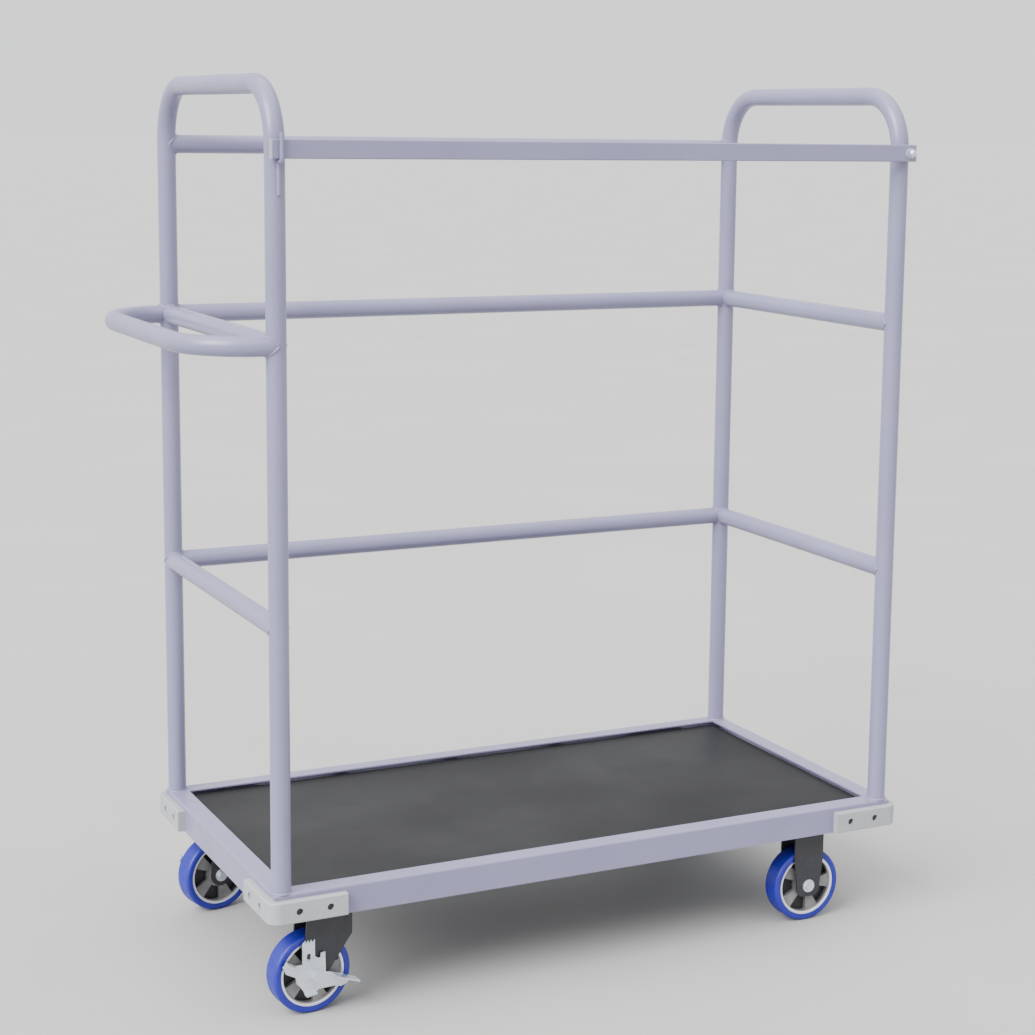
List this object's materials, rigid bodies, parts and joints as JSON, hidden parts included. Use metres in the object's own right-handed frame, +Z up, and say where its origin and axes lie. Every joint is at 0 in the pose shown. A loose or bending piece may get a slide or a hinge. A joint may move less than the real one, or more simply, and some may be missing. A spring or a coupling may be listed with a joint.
{
  "type": "airport luggage trolley",
  "caption": "Steel luggage trolley with a dark deck, tube end hoops and rails, push handle, drop-in gate bar, corner bumpers, and fixed and swivel casters with foot brakes.",
  "frame": {"origin": "on the floor, under the middle of the whole length and of the platform width", "axes": "+X along the platform away from the push handle, -Y out of the open loading side, +Z up"},
  "size_m": [1.5639, 0.7745, 1.7879],
  "materials": {
    "frame_paint": "satin powder coat, light grey with a blue tint",
    "deck_coating": "dark grey phenolic film with a fine wire-mesh print on plywood",
    "bumper_plastic": "moulded light grey plastic",
    "cap_plastic": "grey moulded caps",
    "black_oxide": "black oxide socket screws",
    "zinc": "bright zinc plate",
    "fork_paint": "black coated pressed steel",
    "tyre_blue": "blue elastic rubber",
    "wheel_cast": "pressure-cast aluminium, machined at the ring",
    "bearing_steel": "ground steel"
  },
  "bodies": {
    "frame": {"front_rim_rail": "frame_paint", "rear_rim_rail": "frame_paint", "left_rim_rail": "frame_paint", "right_rim_rail": "frame_paint", "left_caster_channel": "frame_paint", "right_caster_channel": "frame_paint", "cross_members": "frame_paint", "left_hoop": "frame_paint", "right_hoop": "frame_paint", "rear_low_rail": "frame_paint", "rear_mid_rail": "frame_paint", "rear_top_rail": "frame_paint", "left_low_rail": "frame_paint", "left_mid_rail": "frame_paint", "right_low_rail": "frame_paint", "right_mid_rail": "frame_paint", "push_handle": "frame_paint", "deck_panel": "deck_coating", "bumper_front_left": "bumper_plastic", "bumper_front_right": "bumper_plastic", "bumper_rear_left": "bumper_plastic", "bumper_rear_right": "bumper_plastic", "bumper_screws": "black_oxide", "gate_hook": "zinc", "gate_pivot_stud": "zinc", "gate_washers": "zinc", "gate_dome_nut": "zinc", "caster_bolts": "zinc", "weld_nuts": "zinc", "fixed_axle_bolts": "zinc", "swivel_kingpins": "zinc", "fixed_fork_front": "fork_paint", "fixed_fork_rear": "fork_paint", "swivel_plates": "fork_paint"},
    "gate": {"gate_bar": "frame_paint", "gate_end_caps": "cap_plastic"},
    "swivel_front": {"swivel_fork_front": "fork_paint", "swivel_race_front": "fork_paint", "swivel_axle_front": "zinc"},
    "swivel_wheel_front": {"swivel_tyre_front": "tyre_blue", "swivel_wheel_rim_front": "wheel_cast", "swivel_wheel_bearings_front": "bearing_steel"},
    "fixed_wheel_front": {"fixed_tyre_front": "tyre_blue", "fixed_wheel_rim_front": "wheel_cast", "fixed_wheel_bearings_front": "bearing_steel"},
    "brake_pedal_front": {"brake_pedal_front": "zinc"},
    "brake_lock_arm_front": {"brake_lock_arm_front": "zinc"},
    "swivel_rear": {"swivel_fork_rear": "fork_paint", "swivel_race_rear": "fork_paint", "swivel_axle_rear": "zinc"},
    "swivel_wheel_rear": {"swivel_tyre_rear": "tyre_blue", "swivel_wheel_rim_rear": "wheel_cast", "swivel_wheel_bearings_rear": "bearing_steel"},
    "fixed_wheel_rear": {"fixed_tyre_rear": "tyre_blue", "fixed_wheel_rim_rear": "wheel_cast", "fixed_wheel_bearings_rear": "bearing_steel"},
    "brake_pedal_rear": {"brake_pedal_rear": "zinc"},
    "brake_lock_arm_rear": {"brake_lock_arm_rear": "zinc"}
  },
  "joints": [
    {"name": "gate_swing", "type": "hinge", "parent": "frame", "child": "gate", "pos_m": [0.747, -0.3715, 1.653], "axis": [0, 1, 0], "range_deg": [0, 270]},
    {"name": "swivel_front_turn", "type": "hinge", "parent": "frame", "child": "swivel_front", "pos_m": [-0.5, -0.303, 0.19], "axis": [0, 0, 1], "continuous": true},
    {"name": "swivel_wheel_front_roll", "type": "hinge", "parent": "swivel_front", "child": "swivel_wheel_front", "pos_m": [-0.54782, -0.30718, 0.08], "axis": [-0.0872, 0.9962, 0], "continuous": true},
    {"name": "fixed_wheel_front_roll", "type": "hinge", "parent": "frame", "child": "fixed_wheel_front", "pos_m": [0.586, -0.303, 0.08], "axis": [0, 1, 0], "continuous": true},
    {"name": "brake_front_press", "type": "hinge", "parent": "swivel_front", "child": "brake_pedal_front", "pos_m": [-0.54782, -0.30718, 0.08], "axis": [-0.0872, 0.9962, 0], "range_deg": [0, 18]},
    {"name": "brake_front_lock", "type": "slide", "parent": "swivel_front", "child": "brake_lock_arm_front", "axis": [0, 0, 1], "range_m": [0, 0.004]},
    {"name": "swivel_rear_turn", "type": "hinge", "parent": "frame", "child": "swivel_rear", "pos_m": [-0.5, 0.303, 0.19], "axis": [0, 0, 1], "continuous": true},
    {"name": "swivel_wheel_rear_roll", "type": "hinge", "parent": "swivel_rear", "child": "swivel_wheel_rear", "pos_m": [-0.54695, 0.29302, 0.08], "axis": [-0.2079, 0.9781, 0], "continuous": true},
    {"name": "fixed_wheel_rear_roll", "type": "hinge", "parent": "frame", "child": "fixed_wheel_rear", "pos_m": [0.586, 0.303, 0.08], "axis": [0, 1, 0], "continuous": true},
    {"name": "brake_rear_press", "type": "hinge", "parent": "swivel_rear", "child": "brake_pedal_rear", "pos_m": [-0.54695, 0.29302, 0.08], "axis": [-0.2079, 0.9781, 0], "range_deg": [0, 18]},
    {"name": "brake_rear_lock", "type": "slide", "parent": "swivel_rear", "child": "brake_lock_arm_rear", "axis": [0, 0, 1], "range_m": [0, 0.004]}
  ],
  "couplings": [
    {"joint": "brake_front_lock", "follows": "brake_front_press", "m_per_rad": 0.0127},
    {"joint": "brake_rear_lock", "follows": "brake_rear_press", "m_per_rad": 0.0127}
  ]
}
